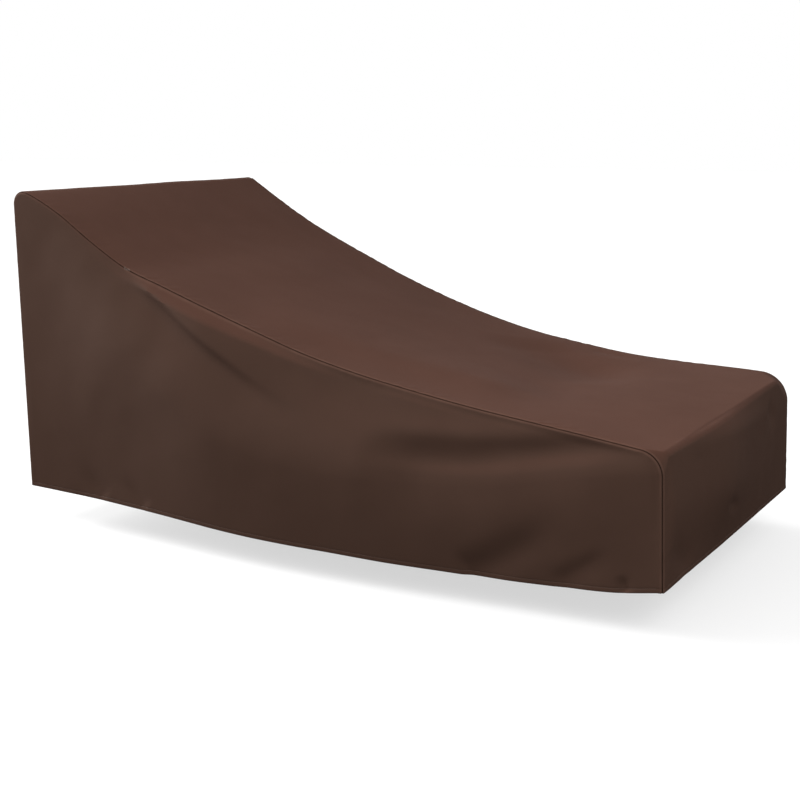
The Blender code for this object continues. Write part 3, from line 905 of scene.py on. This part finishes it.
def stitch_places(line, outward):
    """Where a stitch lies every pitch along a line of points on the cloth, as matrices."""
    run = way_along(line)
    count = int((run[-1] - 2 * HEM_END) / STITCH_PITCH)
    along = 0.5 * (run[-1] - (count - 1) * STITCH_PITCH) + STITCH_PITCH * np.arange(count)

    def at(values, where):
        return np.stack([np.interp(where, run, values[:, part]) for part in range(3)], axis=-1)

    way = unit(at(line, along + STITCH_LENGTH / 3) - at(line, along - STITCH_LENGTH / 3))
    return [laid(*stitch) for stitch in zip(at(line, along), way, unit(at(outward, along)))]


def sew(name, stitch, places):
    """One piece with a copy of the stitch at every place."""
    bpy.ops.object.select_all(action="DESELECT")
    beads = []
    for place in places:
        mesh = stitch.copy()
        mesh.transform(place)
        bead = bpy.data.objects.new(name, mesh)
        bpy.context.collection.objects.link(bead)
        bead.select_set(True)
        beads.append(bead)
    bpy.context.view_layer.objects.active = beads[0]
    bpy.ops.object.join()
    thread = bpy.context.object
    thread.name = name
    thread.data.name = name
    print(name, "has", len(beads), "stitches")
    return thread


def hem_line(places, side_out):
    """Of cloth whose points climb from a hem: those at the height of its stitches, and the way out there."""
    row = HEM_COUNT - len(HEM_ROWS) + HEM_ROWS.index(STITCH_HEIGHT)
    across = np.gradient(places[row], axis=0)
    return places[row], side_out * unit(np.cross(across, places[row + 2] - places[row - 2]))


ends_off = slice(len(SECTION_IN), -len(SECTION_IN))
head_hem = stitch_places(*hem_line(centre_cloth.places[:, ends_off], -1))
foot_hem = stitch_places(*hem_line(centre_cloth.places[::-1, ends_off], 1))
side_hems = {side: stitch_places(*hem_line(SIDE_SHEETS[side][0].places.swapaxes(0, 1), -SIGN[side]))
             for side in SIGN}
hem_stitch = one_stitch(STITCH_LENGTH, STITCH_WIDTH)
centre_thread = sew("centre_hem_thread", hem_stitch, head_hem + foot_hem)
near_thread = sew("near_hem_thread", hem_stitch, side_hems["near"])
far_thread = sew("far_hem_thread", hem_stitch, side_hems["far"])
bpy.data.meshes.remove(hem_stitch)

# %% [markdown]
# ## The knot in the near seam
#
# Where the slope's steep part ends, the near seam is caught with a few close stitches that lie across it,
# paler than the rest, as a machine leaves where it starts and stops. They are longer than the hem's stitches
# and stand a little askew, each in its own way, and lie on the round beside the seam.

# %% The knot in the near seam
KNOT_ALONG = 0.323        # from the head end
KNOT_STITCHES = 8
KNOT_PITCH = 0.0021
KNOT_LENGTH = 0.0070
KNOT_WIDTH = 0.0007
KNOT_ASKEW = math.radians(24)
KNOT_ASIDE = 0.0008
KNOT_OUT = Vector((0.0, -1.0, 1.0)).normalized()
KNOT_SEED = 5


def knot_places():
    """Where short stitches lie across the near seam, side by side along it, as matrices."""
    draw = np.random.default_rng(KNOT_SEED)
    line = in_space(LINES["near"], -HALF_WIDTH)
    start = int(np.argmin(np.abs(LINES["near"][:, 0] - KNOT_ALONG)))
    forward = Vector(line[start + 3] - line[start - 3]).normalized()
    outward = (KNOT_OUT - forward * KNOT_OUT.dot(forward)).normalized()
    across = outward.cross(forward)
    surface = Vector(line[start]) - outward * SEAM_ROUND * (math.sqrt(2) - 1)
    places = []
    for number in range(KNOT_STITCHES):
        askew = Quaternion(outward, draw.uniform(-KNOT_ASKEW, KNOT_ASKEW))
        along = forward * KNOT_PITCH * (number - (KNOT_STITCHES - 1) / 2)
        aside = across * draw.uniform(-KNOT_ASIDE, KNOT_ASIDE)
        places.append(laid(surface + along + aside, np.array(askew @ across), np.array(outward)))
    return places


knot_stitch = one_stitch(KNOT_LENGTH, KNOT_WIDTH)
knot = sew("seam_knot", knot_stitch, knot_places())
bpy.data.meshes.remove(knot_stitch)

# %% [markdown]
# ## The weave and its marks
#
# The cloth is a plain weave of polyester, coated so that it sheds water: matte, and so fine that its threads
# only show from close by. The weave follows the cloth's own map, in metres, so that the threads run with
# each panel and turn at the seams. A larger, very weak mottle stands for coating of uneven thickness. Beside
# a seam painted shade darkens the cloth into the gap, and a painted highlight makes the turned edge next to
# it a little paler, in patches, though hardly above the knot. Both faces of the cloth use these effects, so
# they are made once, as a node group that puts out masks and a height.

# %% The weave and its marks
THREADS_PER_METRE = 1150.0
GAP_BETWEEN_THREADS = (0.0, 0.25)         # how high the weave stands, of its height, from a gap to a thread
MOTTLE = {"Scale": 9.0, "Detail": 5.0, "Roughness": 0.6}
HIGHLIGHT_PATCHES = {"Scale": 26.0, "Detail": 2.0}
SEAM_SHADE = (0.0004, 0.0024)             # from the seam, in metres: from painted shade to plain
# painted highlight: a pale band on the turned edge beside a seam, in patches, faint above the knot
HIGHLIGHT_STARTS = (0.0018, 0.0034)
HIGHLIGHT_ENDS = (0.0042, 0.0085)
HIGHLIGHT_ALONG = (-0.50, -0.42)                # along the cover: from a faint painted highlight to a full one
FAINT_HIGHLIGHT = 0.15


def maths(tree, operation, *given):
    """The result of an operation on one or two values or outputs."""
    return add_node(tree, "ShaderNodeMath", enumerate(given), operation=operation).outputs["Value"]


def ranged(tree, value, span, low=0.0, high=1.0, ease="SMOOTHSTEP"):
    """A value that goes from low to high as another one crosses a span."""
    sockets = {"Value": value, "From Min": span[0], "From Max": span[1], "To Min": low, "To Max": high}
    return add_node(tree, "ShaderNodeMapRange", sockets, interpolation_type=ease).outputs["Result"]


def woven_group():
    """The weave, the mottle, painted seam shade and highlight: masks and a height that materials put to use.
    """
    group = bpy.data.node_groups.new("woven_cloth", "ShaderNodeTree")
    threads = group.interface.new_socket("Threads", in_out="INPUT", socket_type="NodeSocketFloat")
    threads.default_value = THREADS_PER_METRE
    for name in ("Height", "Gap", "Mottle", "Seam Shade", "Seam Highlight"):
        group.interface.new_socket(name, in_out="OUTPUT", socket_type="NodeSocketFloat")
    entry = add_node(group, "NodeGroupInput")
    cloth_map = add_node(group, "ShaderNodeUVMap", uv_map="cloth")
    place = add_node(group, "ShaderNodeTexCoord").outputs["Object"]
    from_seam = add_node(group, "ShaderNodeAttribute", attribute_name="from_seam").outputs["Fac"]

    # threads that cross over and under: the product of two waves changes sign from square to square
    scaled = add_node(group, "ShaderNodeVectorMath", {
        0: cloth_map.outputs["UV"], "Scale": entry.outputs["Threads"]}, operation="SCALE")
    parts = add_node(group, "ShaderNodeSeparateXYZ", {"Vector": scaled.outputs["Vector"]})
    waves = []
    for axis in "XY":
        half_turns = maths(group, "MULTIPLY", parts.outputs[axis], math.pi)
        waves.append(maths(group, "SINE", half_turns))
    over = maths(group, "MULTIPLY", *waves)
    from_gap = maths(group, "ABSOLUTE", over)

    along = add_node(group, "ShaderNodeSeparateXYZ", {"Vector": place}).outputs["X"]
    # painted highlight beside a seam, in patches, faint above the knot
    rubbed = ranged(group, from_seam, HIGHLIGHT_STARTS)
    for mask in (ranged(group, from_seam, HIGHLIGHT_ENDS, 1.0, 0.0),
                 add_node(group, "ShaderNodeTexNoise", {"Vector": place, **HIGHLIGHT_PATCHES}).outputs["Fac"],
                 ranged(group, along, HIGHLIGHT_ALONG, FAINT_HIGHLIGHT)):
        rubbed = maths(group, "MULTIPLY", rubbed, mask)
    mottle = add_node(group, "ShaderNodeTexNoise", {"Vector": place, **MOTTLE})
    add_node(group, "NodeGroupOutput", {
        "Height": ranged(group, over, (-1.0, 1.0), ease="LINEAR"),
        "Gap": ranged(group, from_gap, GAP_BETWEEN_THREADS, 1.0, 0.0, ease="LINEAR"),
        "Mottle": mottle.outputs["Fac"],
        "Seam Shade": ranged(group, from_seam, SEAM_SHADE, 1.0, 0.0),
        "Seam Highlight": rubbed,
    })
    return group


WOVEN = woven_group()
print("the group puts out:", [socket.name for socket in WOVEN.nodes["Group Output"].inputs if socket.name])

# %% [markdown]
# ## The cloth's finish
#
# Where the cloth faces up it is painted a little redder than where it hangs, as painted light on its top,
# so its colour goes from one brown to another with the way that it faces. The group's masks then darken that
# colour, with painted shade in the seams, and pale it with a painted highlight beside them, its mottle makes
# the coating a little glossier here and there, and its height goes to a bump, because threads a millimetre
# apart are too fine to model. The inner face is darker and smoother. The stitches are too small to show a
# finish of their own, so they get plain materials, in a shade paler than the cloth.

# %% The cloth's finish
# painted light: the second brown is a lit copy of the first, painted on where the cloth faces up
HANGING_BROWN = (0.0695, 0.0382, 0.0277, 1.0)
TOP_LIT_BROWN = (0.0755, 0.0353, 0.0249, 1.0)
INNER_BROWN = (0.0560, 0.0310, 0.0226, 1.0)
HEM_THREAD = (0.085, 0.050, 0.037, 1.0)
KNOT_THREAD = (0.150, 0.100, 0.078, 1.0)
THREAD_ROUGHNESS = 0.6
CLOTH_GLOSS = 0.03
FACES_UP = (0.20, 0.90)                   # the upward part of the cloth's normal: from the hanging brown to the painted top light
DARKENED = {"Mottle": 0.86, "Gap": 0.82, "Seam Shade": 0.42}
# the painted highlight beside a seam: how much paler it makes the cloth, and at most how much of it
HIGHLIGHT_PALER = 1.7
HIGHLIGHT_MOST = 0.6
DULLING = (-0.05, 0.06)                   # by how much the mottle changes the roughness
BUMP_STRENGTH = 0.35


def cloth_material(name, colour, sunned, roughness, weave_height):
    """Coated woven cloth of a colour, painted over to a lit copy of it where it faces up, with threads that
    stand up by weave_height, in metres."""
    material = bpy.data.materials.new(name)
    material.use_nodes = True
    tree = material.node_tree
    shader = tree.nodes["Principled BSDF"]
    shader.inputs["Specular IOR Level"].default_value = CLOTH_GLOSS
    weave = add_node(tree, "ShaderNodeGroup", node_tree=WOVEN).outputs

    normal = add_node(tree, "ShaderNodeNewGeometry").outputs["Normal"]
    upward = add_node(tree, "ShaderNodeSeparateXYZ", {"Vector": normal}).outputs["Z"]
    # painted top light: the brown goes over to its lit copy where the cloth faces up
    shown = mixed(tree, ranged(tree, upward, FACES_UP, ease="LINEAR"), colour, sunned)
    for mask, factor in DARKENED.items():
        shown = mixed(tree, weave[mask], shown, (factor, factor, factor, 1.0), blend="MULTIPLY")
    paler = tuple(HIGHLIGHT_PALER * part for part in colour[:3]) + (1.0,)
    # painted highlight on the turned edge beside a seam
    shown = mixed(tree, maths(tree, "MULTIPLY", weave["Seam Highlight"], HIGHLIGHT_MOST), shown, paler)
    shiny, dull = (roughness + change for change in DULLING)
    dulled = ranged(tree, weave["Mottle"], (0.0, 1.0), shiny, dull, ease="LINEAR")
    bump = add_node(tree, "ShaderNodeBump", {
        "Strength": BUMP_STRENGTH, "Distance": weave_height, "Height": weave["Height"]})
    tree.links.new(shown, shader.inputs["Base Color"])
    tree.links.new(dulled, shader.inputs["Roughness"])
    tree.links.new(bump.outputs["Normal"], shader.inputs["Normal"])
    return material


outer_cloth = cloth_material("brown_cloth", HANGING_BROWN, TOP_LIT_BROWN, 0.75, weave_height=0.00012)
inner_cloth = cloth_material("cloth_inside", INNER_BROWN, INNER_BROWN, 0.60, weave_height=0.00006)
for panel in (centre_panel, near_panel, far_panel):
    panel.data.materials.clear()
    panel.data.materials.append(outer_cloth)
    panel.data.materials.append(inner_cloth)
hem_thread = plain_material("hem_thread", HEM_THREAD, THREAD_ROUGHNESS)
for thread in (centre_thread, near_thread, far_thread):
    thread.data.materials.append(hem_thread)
knot.data.materials.append(plain_material("knot_thread", KNOT_THREAD, THREAD_ROUGHNESS))
print("woven finish:", [material.name for material in centre_panel.data.materials])

# %% [markdown]
# ## What stands for what
#
# Each sheet takes the place of its plain panel and keeps to the size that it was cut to.

for panel, node in ((centre_panel, "centre_panel"), (near_panel, "side_panel_near"),
                    (far_panel, "side_panel_far")):
    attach(panel, "root")
    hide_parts(node)
for thread in (centre_thread, near_thread, far_thread, knot):
    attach(thread, "root")
